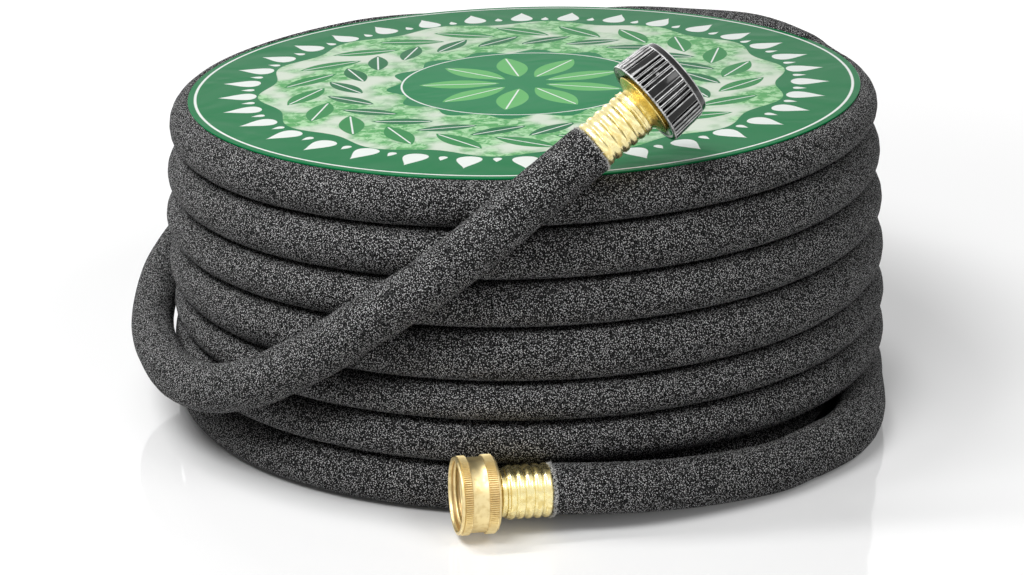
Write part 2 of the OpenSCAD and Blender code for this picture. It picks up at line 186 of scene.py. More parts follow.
# The lead's points are: degrees from the coil's start, hose diameters outwards, and
# share of the rise to the nut. The tail's are: degrees from the coil's finish, hose
# diameters outwards, and hose diameters above the floor.
nut_d = 30.2
floor_gap = 1.6
lead_z = nut_d / 2 + floor_gap
lead_end = beside(coil_start - 42.29, nut_d / 2 + 4.7, lead_z)
lead_dir = -pointing(coil_start + 57, -1.5)
start_z = coil_height(coil_start)[0]
lead_points = [beside(coil_start + a, hose_d * out, start_z + (lead_z - start_z) * u)
               for a, out, u in ((-31.98, 0.981, 0.8), (-22.98, 0.904, 0.48),
                                 (-14.55, 0.861, 0.22))]
tail_points = [beside(coil_finish + a, hose_d * out, hose_d * z) for a, out, z in (
    (15, -0.09, 6.38), (30, 0.3, 6.34), (45, 0.76, 6.1), (60, 1.09, 5.85),
    (75, 1.06, 5.4), (95, 1.01, 4.6), (115, 0.98, 3.6), (135, 0.955, 2.7),
    (145, 0.938, 2.32), (155, 0.879, 2.03), (165, 0.805, 1.78), (175, 0.807, 1.68),
    (185, 0.853, 1.65), (195, 0.951, 1.635), (205, 0.979, 1.825), (214.6, 0.992, 2.315),
    (220.7, 0.977, 2.8), (226.9, 0.957, 3.35), (231.9, 0.929, 3.89), (239.7, 0.893, 4.67),
    (245, 0.852, 5.255), (251.3, 0.746, 5.995), (255, 0.7, 6.45), (259.5, 0.483, 6.895))]
tail_end = beside(coil_finish + 264.5, 0.273 * hose_d, 7.36 * hose_d)
tail_dir = pointing(coil_finish + 6.48, 34.74)
straight = 3          # straight hose outside each ferrule

lead_join = coil_point(coil_start) - hose_d * along(coil_start)
tail_join = coil_point(coil_finish) + hose_d * along(coil_finish)
lead_line = [lead_end] + smooth_line(
    [lead_end - straight * lead_dir] + lead_points + [lead_join, coil_point(coil_start)], 6)
tail_line = smooth_line(
    [coil_point(coil_finish), tail_join] + tail_points + [tail_end - straight * tail_dir], 5)
coil_step = 2.25
coil_line = [coil_point(coil_start + coil_step * i)
             for i in range(1, round((coil_finish - coil_start) / coil_step))]
hose_line = lead_line + coil_line + tail_line + [tail_end]

# The card presses the top loops flat under it, and they stand round beyond its edge.
card_past, card_gap, edge_gap = 3, 0.1, 0.4
card_r = coil_r - crown_in + card_past
card_sink = math.tan(card_dip) * (coil_r - crown_in)
card_place = (Matrix.Translation((0, 0, level(loops) - card_sink - loop_gap - card_gap))
              @ Matrix.Rotation(-card_tilt, 4, "Y") @ Matrix.Rotation(-card_dip, 4, "X"))
card_up = card_place.to_3x3() @ Vector((0, 0, 1))


def under_card(p):
    if math.hypot(p.x, p.y) > card_r + edge_gap or p.z < level(loops - 1):
        return p
    under = card_place.translation.z - (card_up.x * p.x + card_up.y * p.y) / card_up.z
    return Vector((p.x, p.y, min(p.z, under)))


loop_squareness, free_squareness = 2.08, 2
tail_narrowing = 0.1      # where it lies against the left side and over the top loops


def hose_size(i):
    """Half width, half height and squareness of the section at point i of the line."""
    j = i - len(lead_line) + 1
    if 0 <= j <= len(coil_line):
        half = coil_height(coil_start + coil_step * j)[1]
        return hose_d / 2 + soft_swell, half + soft_swell, loop_squareness
    p = hose_line[i]
    wide = 1 - tail_narrowing * ease((-p.x / coil_r - 0.69) / 0.35)
    high = 1 if p.y < 0 else 1 - tail_narrowing * ease((p.z / hose_d - 5.75) / 0.45)
    return hose_d / 2 * wide, hose_d / 2 * high, free_squareness


def flat_power(value, squareness):
    return math.copysign(abs(value) ** (2 / squareness), value)


def hose_ring(point, heading, half_wide, half_high, squareness):
    side = heading.cross(Vector((0, 0, 1))).normalized()
    top = side.cross(heading)
    ring = []
    for k in range(hose_sides):
        a = math.tau * k / hose_sides
        ring.append(point + half_wide * flat_power(math.cos(a), squareness) * side
                    + half_high * flat_power(math.sin(a), squareness) * top)
    return ring


def closed_mesh(name, points, faces):
    """A mesh with doubled points merged and its faces turned outwards."""
    mesh = bpy.data.meshes.new(name)
    mesh.from_pydata(points, [], faces)
    bm = bmesh.new()
    bm.from_mesh(mesh)
    bmesh.ops.remove_doubles(bm, verts=bm.verts, dist=1e-7)
    bmesh.ops.recalc_face_normals(bm, faces=bm.faces)
    bm.to_mesh(mesh)
    bm.free()
    return mesh


def show(name, mesh, smooth):
    mesh.polygons.foreach_set("use_smooth", [smooth] * len(mesh.polygons))
    made = bpy.data.objects.new(name, mesh)
    scene.collection.objects.link(made)
    return made


def place_mesh(name, points, faces, place=None, smooth=True):
    """A mesh object from points in millimetres, put in its place in the shared frame."""
    place = place or Matrix.Translation(coil_axis)
    placed = [tuple((place @ Vector(p)) * mm) for p in points]
    return show(name, closed_mesh(name, placed, faces), smooth)


def tube_faces(rings, sides, closed_ends=True):
    faces = [(r * sides + k, r * sides + (k + 1) % sides,
              (r + 1) * sides + (k + 1) % sides, (r + 1) * sides + k)
             for r in range(rings - 1) for k in range(sides)]
    if closed_ends:
        faces.append(tuple(range(sides)))
        faces.append(tuple(range((rings - 1) * sides, rings * sides)))
    return faces


# Inside each ferrule the hose is squeezed, so its end rounds over and goes in thinner.
# Each pair is millimetres past the mouth, and the share of the diameter left there.
lead_squeeze = [(-1.2, 1), (-0.4, 0.985), (0, 0.93), (0.4, 0.88), (4, 0.88)]
tail_squeeze = [(-1.2, 1), (-0.7, 0.985), (-0.25, 0.93), (0, 0.86), (0.3, 0.78), (4, 0.78)]


def squeezed(end, outwards, heading, squeeze):
    return [hose_ring(end + past * outwards, heading, hose_d / 2 * share, hose_d / 2 * share,
                      free_squareness) for past, share in squeeze]


hose_rings = squeezed(lead_end, lead_dir, -lead_dir, reversed(lead_squeeze))
for i in range(1, len(hose_line) - 1):
    heading = (hose_line[i + 1] - hose_line[i - 1]).normalized()
    middle = hose_line[i] + Vector((0, 0, soft_swell))
    hose_rings.append(hose_ring(middle, heading, *hose_size(i)))
hose_rings += squeezed(tail_end, tail_dir, tail_dir, tail_squeeze)

hose = place_mesh("hose", [under_card(p) for ring in hose_rings for p in ring],
                  tube_faces(len(hose_rings), hose_sides))


# Shader helpers. A group made with them is shared by the materials that need it.
def feed(tree, node, inputs):
    """Links or sets each of these inputs of the node."""
    for key, value in inputs.items():
        if isinstance(value, bpy.types.NodeSocket):
            tree.links.new(value, node.inputs[key])
        else:
            node.inputs[key].default_value = value


def add_node(tree, kind, inputs, **settings):
    node = tree.nodes.new(kind)
    for key, value in settings.items():
        setattr(node, key, value)
    feed(tree, node, inputs)
    return node


def do_math(tree, operation, a, b=0.0):
    return add_node(tree, "ShaderNodeMath", {0: a, 1: b}, operation=operation).outputs[0]


def remap(tree, value, low, high, to_low=0.0, to_high=1.0):
    """Goes smoothly from to_low to to_high while the value goes from low to high."""
    return add_node(tree, "ShaderNodeMapRange",
                    {0: value, 1: low, 2: high, 3: to_low, 4: to_high},
                    interpolation_type="SMOOTHSTEP").outputs[0]


def remap_straight(tree, share, low, high):
    return do_math(tree, "ADD", low, do_math(tree, "MULTIPLY", share, high - low))


def mix_colour(tree, factor, a, b, blend="MIX"):
    return add_node(tree, "ShaderNodeMix", {0: factor, 6: a, 7: b}, data_type="RGBA",
                    blend_type=blend).outputs[2]


def grey(tone):
    return tone, tone, tone, 1


def noise(tree, position, scale, detail, **more):
    return add_node(tree, "ShaderNodeTexNoise", {"Vector": position, "Scale": scale,
                                                 "Detail": detail, **more}).outputs[0]


def bump(tree, height, strength, depth):
    return add_node(tree, "ShaderNodeBump", {"Height": height, "Strength": strength,
                                             "Distance": depth}).outputs[0]


def new_group(name, inputs, outputs, kind="ShaderNodeTree"):
    group = bpy.data.node_groups.new(name, kind)
    for in_out, sockets in (("INPUT", inputs), ("OUTPUT", outputs)):
        for label, holds in sockets.items():
            group.interface.new_socket(label, in_out=in_out, socket_type="NodeSocket" + holds)
    return group, group.nodes.new("NodeGroupInput"), group.nodes.new("NodeGroupOutput")


def use_group(tree, group, inputs):
    return add_node(tree, "ShaderNodeGroup", inputs, node_tree=group).outputs


def new_material(name):
    material = bpy.data.materials.new(name)
    material.use_nodes = True
    tree = material.node_tree
    coords = add_node(tree, "ShaderNodeTexCoord", {}).outputs["Object"]
    return material, tree, tree.nodes["Principled BSDF"], coords


# Crumbs: dark grains of uneven size with pits between them, and round pale ones, strewn
# one to a cell, that catch the light. The hose, its torn ends and the washers use them.
cell_scale, patch_scale = 0.64, 0.12       # cells and patches for each grain's length
full_reach, reach_edge = 0.62, 0.07        # radius of a ball that would fill its cell
crumbs, crumbs_in, crumbs_out = new_group(
    "rubber crumbs",
    {"Position": "Vector", "Grain Size": "Float", "Pale Share": "Float", "Dark": "Color",
     "Middle": "Color", "Pale": "Color"},
    {"Color": "Color", "Height": "Float", "Roughness": "Float"})
crumb_at = crumbs_in.outputs["Position"]
grain_scale = do_math(crumbs, "DIVIDE", 1.0, crumbs_in.outputs["Grain Size"])
lumps = remap(crumbs, noise(crumbs, crumb_at, grain_scale, 2.0, Roughness=0.6,
                            Distortion=0.4), 0.44, 0.6)
base_tone = mix_colour(crumbs, lumps, crumbs_in.outputs["Dark"], crumbs_in.outputs["Middle"])
cells = add_node(crumbs, "ShaderNodeTexVoronoi", {
    "Vector": crumb_at, "Scale": do_math(crumbs, "MULTIPLY", grain_scale, cell_scale)})
cell_tone = add_node(crumbs, "ShaderNodeSeparateColor", {0: cells.outputs["Color"]}).outputs[0]
pale_reach = do_math(crumbs, "MULTIPLY", full_reach, do_math(
    crumbs, "POWER", crumbs_in.outputs["Pale Share"], 1 / 3))
pale_ball = remap(crumbs, cells.outputs["Distance"],
                  do_math(crumbs, "SUBTRACT", pale_reach, reach_edge),
                  do_math(crumbs, "ADD", pale_reach, reach_edge), 1.0, 0.0)
pale_spot = do_math(crumbs, "MULTIPLY", pale_ball, do_math(
    crumbs, "MULTIPLY", remap_straight(crumbs, lumps, 0.6, 1.0),
    remap_straight(crumbs, cell_tone, 0.6, 1.0)))
with_pale = mix_colour(crumbs, pale_spot, base_tone, crumbs_in.outputs["Pale"])
patches = noise(crumbs, crumb_at, do_math(crumbs, "MULTIPLY", grain_scale, patch_scale), 2.0)
patch_tone = remap(crumbs, patches, 0.35, 0.65, 0.92, 1.08)
feed(crumbs, crumbs_out, {
    "Color": mix_colour(crumbs, 1.0, with_pale, patch_tone, "MULTIPLY"), "Height": lumps,
    "Roughness": remap(crumbs, lumps, 0.0, 1.0, 0.9, 0.55)})


def crumb_rubber(name, grain_size, pale_share, tones, relief=None, specular=0.5):
    """Its tones are the dark, middle and pale one, its relief is strength and depth."""
    material, tree, shader, coords = new_material(name)
    dark, middle, pale = tones
    surface = use_group(tree, crumbs, {
        "Position": coords, "Grain Size": grain_size, "Pale Share": pale_share,
        "Dark": dark, "Middle": middle, "Pale": pale})
    feed(tree, shader, {"Base Color": surface["Color"], "Roughness": surface["Roughness"],
                        "Specular IOR Level": specular})
    if relief:
        feed(tree, shader, {"Normal": bump(tree, surface["Height"], *relief)})
    return material


hose_rubber = crumb_rubber("porous crumb rubber", 0.38 * mm, 0.16,
                           (grey(0.001), (0.06, 0.06, 0.061, 1), grey(1.0)),
                           (0.7, 0.22 * mm), specular=0.04)
hose.data.materials.append(hose_rubber)

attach(hose, "hose")
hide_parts("hose_coil", "inner_turns", "hose_lead", "hose_tail")


# ---- Ferrules ------------------------------------------------------------------------
# Thin brass sleeves, rolled over the hose ends with five round ridges that bite the
# rubber, and drawn down to a plain collar on the stem. The nut's end is like the cap's.
def end_place(point, direction):
    """Where a coupling drawn along +Z, with its zero at the ferrule's mouth, stands."""
    azimuth = math.atan2(direction.y, direction.x)
    fall = math.pi / 2 - math.asin(direction.z)
    return (Matrix.Translation(coil_axis + point) @ Matrix.Rotation(azimuth, 4, "Z")
            @ Matrix.Rotation(fall, 4, "Y"))


on_lead = end_place(lead_end, lead_dir)
on_tail = end_place(tail_end, tail_dir)


def turned(name, profile, place, segments=96):
    """A solid turned on a lathe: the closed outline (radius, along) goes round +Z."""
    points, faces, count = [], [], len(profile)
    for s in range(segments):
        a = math.tau * s / segments
        points += [(r * math.cos(a), r * math.sin(a), z) for r, z in profile]
    for s in range(segments):
        n = (s + 1) % segments
        for i in range(count):
            j = (i + 1) % count
            if profile[i][0] < 1e-6 and profile[j][0] < 1e-6:
                continue
            faces.append((s * count + i, n * count + i, n * count + j, s * count + j))
    return place_mesh(name, points, faces, place)


nut_ferrule_r, cap_ferrule_r = 10.4, 9.4
ridge_deep = 0.7
ferrule_wall = 0.8
ridges = 5
nut_ridge, cap_ridge = 3.45, 3.8
collar_len = 2.6
neck_r = 8.4
seat_gap = 0.1


def ferrule_outline(ridge, outer_r):
    crest_steps, drawn_steps, mouth_round = 14, 6, 0.25
    end = ridges * ridge
    collar_r = neck_r + seat_gap + ferrule_wall
    crest = [(outer_r - ridge_deep * math.cos(math.pi * i / crest_steps) ** 4,
              i * ridge / crest_steps) for i in range(ridges * crest_steps + 1)]
    outside = [(crest[0][0] - mouth_round, 0), (crest[0][0], mouth_round)] + crest[1:]
    outside += [(collar_r + 0.15 + 0.35 * math.cos(math.pi * u / drawn_steps),
                 end + 0.15 + 0.5 * u / drawn_steps) for u in range(1, drawn_steps + 1)]
    outside += [(collar_r, end + 0.9), (collar_r, end + collar_len - 0.3),
                (collar_r - 0.3, end + collar_len)]
    inside = [(neck_r + seat_gap, end + collar_len), (neck_r + seat_gap, end + 0.6)]
    return outside + inside + [(r - ferrule_wall, z) for r, z in reversed(crest)]


female_ferrule = turned("female_ferrule_rolled", ferrule_outline(nut_ridge, nut_ferrule_r),
                        on_lead)
male_ferrule = turned("male_ferrule_rolled", ferrule_outline(cap_ridge, cap_ferrule_r),
                      on_tail)


def split_xyz(tree, vector):
    return add_node(tree, "ShaderNodeSeparateXYZ", {0: vector}).outputs


def apart(tree, a, b):
    return do_math(tree, "ABSOLUTE", do_math(tree, "SUBTRACT", a, b))


# Brushed brass: fine lines round the lathe's axis and small dull spots. The group reads
# positions measured from the piece's own axis, squeezed so that its noise makes lines.
lathe_lines, lines_in, lines_out = new_group(
    "lathe lines", {"Position": "Vector", "Pitch": "Float"},
    {"Height": "Float", "Spots": "Float"})
line_at = lines_in.outputs["Position"]
line_xyz = split_xyz(lathe_lines, line_at)
stretched = add_node(lathe_lines, "ShaderNodeCombineXYZ", {
    0: do_math(lathe_lines, "MULTIPLY", line_xyz[0], 12.0),
    1: do_math(lathe_lines, "MULTIPLY", line_xyz[1], 12.0),
    2: do_math(lathe_lines, "MULTIPLY", line_xyz[2],
               do_math(lathe_lines, "DIVIDE", 1.0, lines_in.outputs["Pitch"]))}).outputs[0]
feed(lathe_lines, lines_out, {
    "Height": noise(lathe_lines, stretched, 1.0, 3.0),
    "Spots": remap(lathe_lines, noise(lathe_lines, line_at, 420.0, 3.0), 0.42, 0.7)})


def from_axis(tree, coords, place):
    """Object coordinates measured from the piece's own axis and mouth, in metres."""
    back = Matrix.LocRotScale(place.translation * mm, place.to_quaternion(), None).inverted()
    return add_node(tree, "ShaderNodeMapping", {
        "Vector": coords, "Location": back.translation,
        "Rotation": back.to_euler()}).outputs[0]


def brass(name, place, bright, dull, roughness, line_depth, hollows=()):
    """Hollows are stretches along the axis where tarnish has stayed."""
    tarnish, fade = (0.5, 0.35, 0.17, 1), 0.2
    material, tree, shader, coords = new_material(name)
    local = from_axis(tree, coords, place)
    lines = use_group(tree, lathe_lines, {"Position": local, "Pitch": 0.22 * mm})
    tone = mix_colour(tree, lines["Spots"], bright, dull)
    for low, high in hollows:
        off = apart(tree, split_xyz(tree, local)[2], (low + high) / 2 * mm)
        within = remap(tree, off, (high - low - fade) / 2 * mm, (high - low + fade) / 2 * mm,
                       1.0, 0.0)
        tone = mix_colour(tree, within, tone, tarnish)
    feed(tree, shader, {
        "Base Color": tone, "Metallic": 1.0,
        "Roughness": remap(tree, lines["Spots"], 0.0, 1.0, roughness, roughness + 0.14),
        "Normal": bump(tree, lines["Height"], line_depth, 0.012 * mm)})
    return material


pale_gold, deep_gold = (0.89, 0.78, 0.41, 1), (0.76, 0.61, 0.25, 1)
female_ferrule.data.materials.append(
    brass("rolled brass by the nut", on_lead, pale_gold, deep_gold, 0.24, 0.2))
male_ferrule.data.materials.append(
    brass("rolled brass by the cap", on_tail, pale_gold, deep_gold, 0.24, 0.2))
for ferrule, node in ((female_ferrule, "female_ferrule"), (male_ferrule, "male_ferrule")):
    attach(ferrule, "hose")
    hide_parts(node)


# Torn fibres: where each ferrule was crimped, short pale fibres of the cut rubber stand
# out all round the hose. They are scattered round the mouth by a node tree.
def new_tree(name, inputs):
    return new_group(name, inputs, {"Geometry": "Geometry"}, "GeometryNodeTree")


def shape_of(tree, thing):
    return add_node(tree, "GeometryNodeObjectInfo", {0: thing}).outputs["Geometry"]


def finish_tree(tree, source, result, outputs):
    """Makes the instances real and gives the mesh the material of the tree's input."""
    real = add_node(tree, "GeometryNodeRealizeInstances", {0: result})
    dressed = add_node(tree, "GeometryNodeSetMaterial", {
        "Geometry": real.outputs[0], "Material": source.outputs["Material"]})
    feed(tree, outputs, {0: dressed.outputs[0]})


def grow(name, tree, values, place, smooth=True):
    """Runs a node tree with these inputs, and keeps its result as a plain mesh."""
    holder = bpy.data.objects.new(name + "_tree", bpy.data.meshes.new(name))
    scene.collection.objects.link(holder)
    modifier = holder.modifiers.new("tree", "NODES")
    modifier.node_group = tree
    sockets = {s.name: s.identifier for s in tree.interface.items_tree
               if s.item_type == "SOCKET" and s.in_out == "INPUT"}
    for key, value in values.items():
        modifier[sockets[key]] = value
    evaluated = holder.evaluated_get(bpy.context.evaluated_depsgraph_get())
    mesh = bpy.data.meshes.new_from_object(evaluated)
    holder.modifiers.remove(modifier)
    bpy.data.objects.remove(holder)
    mesh.name = name
    mesh.transform(Matrix.Scale(mm, 4) @ place)
    return show(name, mesh, smooth)


def pattern(name, points, faces):
    """A small shape that a tree repeats. It isn't shown itself."""
    return bpy.data.objects.new(name, closed_mesh(name, points, faces))


fringe, fringe_in, fringe_out = new_tree("fringe of fibres", {
    "Radius": "Float", "Count": "Int", "Spread": "Float", "Seed": "Int", "Fibre": "Object",
    "Material": "Material"})
fibre_count, seed = fringe_in.outputs["Count"], fringe_in.outputs["Seed"]
mouth = add_node(fringe, "GeometryNodeCurvePrimitiveCircle", {
    "Resolution": fibre_count, "Radius": fringe_in.outputs["Radius"]})
roots = add_node(fringe, "GeometryNodeCurveToPoints", {"Curve": mouth.outputs[0],
                                                       "Count": fibre_count})
scatter = add_node(fringe, "FunctionNodeRandomValue", {
    "Min": (-1.0, -1.0, -4.0), "Max": (1.0, 1.0, 1.0), "Seed": seed}, data_type="FLOAT_VECTOR")
shift = add_node(fringe, "ShaderNodeVectorMath", {
    0: scatter.outputs[0], 3: fringe_in.outputs["Spread"]}, operation="SCALE")
moved = add_node(fringe, "GeometryNodeSetPosition", {"Geometry": roots.outputs[0],
                                                     "Offset": shift.outputs[0]})
tilt = add_node(fringe, "FunctionNodeRandomValue", {
    "Min": (-1.2, -1.2, 0.0), "Max": (1.2, 1.2, 6.28),
    "Seed": do_math(fringe, "ADD", seed, 1.0)}, data_type="FLOAT_VECTOR")
grown = add_node(fringe, "FunctionNodeRandomValue", {
    2: 0.5, 3: 1.5, "Seed": do_math(fringe, "ADD", seed, 2.0)}, data_type="FLOAT")
fibres = add_node(fringe, "GeometryNodeInstanceOnPoints", {
    "Points": moved.outputs[0], "Rotation": tilt.outputs[0], "Scale": grown.outputs[1],
    "Instance": shape_of(fringe, fringe_in.outputs["Fibre"])})
finish_tree(fringe, fringe_in, fibres.outputs[0], fringe_out)

fibre = pattern(
    "fibre", [(0.15, 0, 0), (-0.09, 0.14, 0), (-0.09, -0.14, 0), (0.05, 0.02, 0.95)],
    [(0, 1, 3), (1, 2, 3), (2, 0, 3), (0, 2, 1)])
fibre_pale = crumb_rubber("torn rubber fibres", 0.5 * mm, 0.6,
                          (grey(0.4), grey(0.75), (0.95, 0.95, 0.94, 1)))
fringe_back = 0.4
for name, place, fringe_r in (("lead_fringe", on_lead, 10.0), ("tail_fringe", on_tail, 9.5)):
    fray = grow(name, fringe, {"Radius": fringe_r, "Count": 700, "Spread": 0.3, "Seed": 4,
                               "Fibre": fibre, "Material": fibre_pale},
                place @ Matrix.Translation((0, 0, -fringe_back)), smooth=False)
    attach(fray, "hose")

# ---- Swivel nut ----------------------------------------------------------------------
# A turned brass nut with a 3/4 inch hose thread inside, and two knurled bands for the
# fingers with a smooth band sunk between them. It turns freely on the stem's flange.
nut_r = nut_d / 2
nut_back = ridges * nut_ridge + collar_len + 1.1
nut_len = 15.4
nut_wall = 2.2
nut_front = nut_back + nut_len
nut_chamfer = 1.2
nut_edge = 1
knurl_front, knurl_back = 3.2, 4
knurl_deep = 0.5
band_deep = 0.75
nut_bore = 12.35
nut_mouth = nut_r - 1.4
nut_root, chamber_r = nut_bore + 1.15, 12.75
thread_at = nut_back + 6.95
run_gap = 0.15

rim_r = nut_r - knurl_deep
back_knurl = nut_back + nut_edge
front_knurl = nut_front - nut_chamfer - knurl_front
nut_outline = [
    (neck_r + run_gap, nut_back), (rim_r - 1.1, nut_back), (rim_r - 0.45, nut_back + 0.3),
    (rim_r - 0.1, nut_back + 0.7), (rim_r, back_knurl), (rim_r, back_knurl + knurl_back),
    (nut_r - band_deep, back_knurl + knurl_back + 0.25),
    (nut_r - band_deep, front_knurl - 0.25), (rim_r, front_knurl),
    (rim_r, front_knurl + knurl_front), (nut_r - 0.25, front_knurl + knurl_front + 0.15),
    (nut_r - 0.15, nut_front - 0.55), (nut_r - 0.35, nut_front - 0.15),
    (nut_r - 0.75, nut_front), (nut_mouth + 0.15, nut_front),
    (nut_mouth - 0.1, nut_front - 0.15), (nut_root, nut_front - nut_chamfer),
    (nut_root, thread_at), (chamber_r, thread_at - 0.3), (chamber_r, nut_back + nut_wall),
    (neck_r + run_gap, nut_back + nut_wall)]
nut = turned("nut_turned", nut_outline, on_lead, 128)
nut_look = (on_lead, (0.81, 0.67, 0.36, 1), (0.7, 0.55, 0.27, 1), 0.42, 0.4)
nut_brass = brass("knurled brass", *nut_look)
nut.data.materials.append(brass("turned brass nut", *nut_look, hollows=(
    (back_knurl, back_knurl + knurl_back), (front_knurl, front_knurl + knurl_front))))

# Ring of parts: one small shape, repeated at even steps round the axis of a piece.
ring_tree, ring_in, ring_out = new_tree("parts round an axis", {
    "Part": "Object", "Count": "Int", "First Turn": "Float", "Material": "Material"})
places = add_node(ring_tree, "GeometryNodeMeshLine", {
    "Count": ring_in.outputs["Count"], "Offset": (0.0, 0.0, 0.0)})
step_angle = do_math(ring_tree, "DIVIDE", math.tau, ring_in.outputs["Count"])
turn = do_math(ring_tree, "ADD", ring_in.outputs["First Turn"], do_math(
    ring_tree, "MULTIPLY", step_angle,
    add_node(ring_tree, "GeometryNodeInputIndex", {}).outputs[0]))
parts = add_node(ring_tree, "GeometryNodeInstanceOnPoints", {
    "Points": places.outputs[0],
    "Rotation": add_node(ring_tree, "ShaderNodeCombineXYZ", {2: turn}).outputs[0],
    "Instance": shape_of(ring_tree, ring_in.outputs["Part"])})
finish_tree(ring_tree, ring_in, parts.outputs[0], ring_out)


def knurl_tooth(name, low, high, count):
    """One ridge of a knurled band: a long pyramid-ended wedge sunk in the nut."""
    fill, flat, slope = 0.92, 0.12, 0.35
    half = math.pi / count * fill
    root = rim_r - 0.15
    points = [(root * math.cos(a), root * math.sin(a), z)
              for z in (low, high) for a in (-half, half)]
    points += [(nut_r, -flat, low + slope), (nut_r, flat, low + slope),
               (nut_r, flat, high - slope), (nut_r, -flat, high - slope)]
    faces = [(0, 1, 5, 4), (2, 3, 6, 7), (0, 4, 7, 2), (1, 3, 6, 5), (4, 5, 6, 7), (0, 2, 3, 1)]
    return pattern(name, points, faces)


knurl_count = 108
for name, low, length in (("nut_knurl_back", back_knurl, knurl_back),
                          ("nut_knurl_front", front_knurl, knurl_front)):
    tooth = knurl_tooth(name + "_tooth", low, low + length, knurl_count)
    band = grow(name, ring_tree, {"Part": tooth, "Count": knurl_count, "First Turn": 0.0,
                                  "Material": nut_brass}, on_lead, smooth=False)
    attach(band, "nut")

# Thread: a ridge that follows a helix, cut off square at both ends.
thread_tree, thread_in, thread_out = new_tree("thread", {
    "Radius": "Float", "Pitch": "Float", "Turns": "Float", "Ridge": "Float",
    "Material": "Material"})
thread_r, turns = thread_in.outputs["Radius"], thread_in.outputs["Turns"]
helix = add_node(thread_tree, "GeometryNodeCurveSpiral", {
    "Resolution": 72, "Rotations": turns, "Start Radius": thread_r, "End Radius": thread_r,
    "Height": do_math(thread_tree, "MULTIPLY", turns, thread_in.outputs["Pitch"])})
level_helix = add_node(thread_tree, "GeometryNodeSetCurveNormal",
                       {"Curve": helix.outputs[0]}, mode="Z_UP")
ridge_form = add_node(thread_tree, "GeometryNodeCurvePrimitiveCircle",
                      {"Resolution": 6, "Radius": thread_in.outputs["Ridge"]})
ridge_mesh = add_node(thread_tree, "GeometryNodeCurveToMesh", {
    "Curve": level_helix.outputs[0], "Profile Curve": ridge_form.outputs[0],
    "Fill Caps": True})
finish_tree(thread_tree, thread_in, ridge_mesh.outputs[0], thread_out)

thread_pitch = 25.4 / 11.5      # 11.5 threads per inch
nut_thread = grow("nut_thread_ridge", thread_tree,
                  {"Radius": nut_bore + 1.0, "Pitch": thread_pitch, "Turns": 2.9,
                   "Ridge": 0.85, "Material": nut_brass},
                  on_lead @ Matrix.Translation((0, 0, thread_at + 0.9)))
for piece in (nut, nut_thread):
    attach(piece, "nut")
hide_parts("swivel_nut")

# ---- Stem ----------------------------------------------------------------------------
# The tailpiece that the nut turns on, with a flange inside the nut, a neck through the
# ferrule's collar and a barb in the hose. The solid is kept, in a turned brass.
stem_brass = brass("turned brass stem", on_lead, (0.9, 0.7, 0.3, 1), (0.8, 0.55, 0.2, 1),
                   0.2, 0.3)
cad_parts["female_stem"].material_slots[0].material = stem_brass

# ---- Washers -------------------------------------------------------------------------
# Flat rings of black rubber that seal the nut and the cap, cut from smooth sheet with a
# faint grain and a little talc on it.
washer_rubber = crumb_rubber("washer rubber", 0.35 * mm, 0.06,
                             (grey(0.012), grey(0.03), grey(0.12)), (0.3, 0.05 * mm))
for node in ("hose_washer", "cap_washer"):
    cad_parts[node].material_slots[0].material = washer_rubber

# ---- Threaded end --------------------------------------------------------------------
# The brass end fitting flares from its neck to a thin rim, and carries the same hose
# thread outside. The cap hides the thread until it is unscrewed.
shoulder_at = ridges * cap_ridge + 0.6
flare_at, flare_len = ridges * cap_ridge + collar_len, 2
rim_at, rim_t = flare_at + flare_len, 1.6
male_r, male_len, thread_deep = 13.45, 12.6, 1.1
male_at = rim_at + rim_t
male_end = male_at + male_len
male_core = male_r - thread_deep
water_r, barb_r = 4.8, 6.3
fitting_outline = [
    (water_r, -2), (5.6, -2), (barb_r, -0.2), (barb_r, shoulder_at), (neck_r, shoulder_at),
    (neck_r, flare_at + 0.3), (neck_r + 0.4, flare_at + 0.9), (neck_r + 1.2, flare_at + 1.6),
    (neck_r + 2.7, rim_at + 0.3), (male_r - 1, rim_at + 0.75), (male_r - 0.4, rim_at + 1.1),
    (male_r - 0.25, male_at - 0.3), (male_r - 0.5, male_at),
    (male_core, male_at + 0.2), (male_core, male_end - 0.6), (male_core - 0.6, male_end),
    (water_r + 0.4, male_end), (water_r, male_end - 0.4)]
fitting = turned("male_fitting_turned", fitting_outline, on_tail)
fitting_brass = brass("turned brass end", on_tail, (0.78, 0.63, 0.22, 1),
                      (0.62, 0.46, 0.12, 1), 0.26, 0.3)
fitting.data.materials.append(fitting_brass)
male_thread = grow("male_thread_ridge", thread_tree,
                   {"Radius": male_core + 0.2, "Pitch": thread_pitch, "Turns": 4.8,
                    "Ridge": 0.88, "Material": fitting_brass},
                   on_tail @ Matrix.Translation((0, 0, male_at + 1.0)))
for piece in (fitting, male_thread):
    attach(piece, "hose")
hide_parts("male_fitting")

